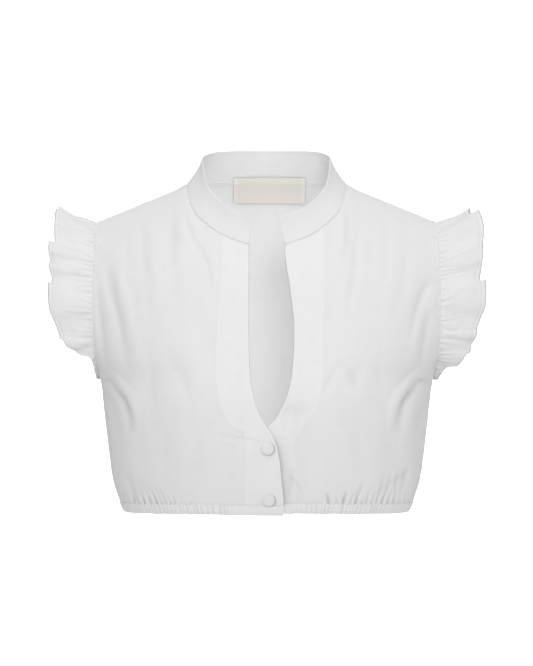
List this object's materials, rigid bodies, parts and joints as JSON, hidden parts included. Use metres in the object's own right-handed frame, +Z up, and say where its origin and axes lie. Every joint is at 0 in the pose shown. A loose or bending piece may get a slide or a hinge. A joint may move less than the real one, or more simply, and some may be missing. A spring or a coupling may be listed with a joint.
{
  "type": "blouse",
  "caption": "Cropped sleeveless blouse with a stand collar, keyhole front, ruffled armholes and a gathered hem, hollow as worn.",
  "frame": {"origin": "between the shoulders, level with the neck ends of the shoulder seams, where the wearer's shoulders carry the garment", "axes": "+X towards the wearer's left, -Y out of the front, +Z up"},
  "size_m": [0.4385, 0.23, 0.3716],
  "materials": {
    "white_cotton": "matt",
    "cream_label": "satin"
  },
  "bodies": {
    "root": {"front_right": "white_cotton", "front_left": "white_cotton", "back": "white_cotton", "collar": "white_cotton", "facing_right": "white_cotton", "facing_left": "white_cotton", "ruffle_right": "white_cotton", "ruffle_left": "white_cotton", "hem_casing_right": "white_cotton", "hem_casing_left": "white_cotton", "hem_casing_back": "white_cotton", "button_upper": "white_cotton", "button_lower": "white_cotton", "neck_label": "cream_label"}
  },
  "joints": []
}
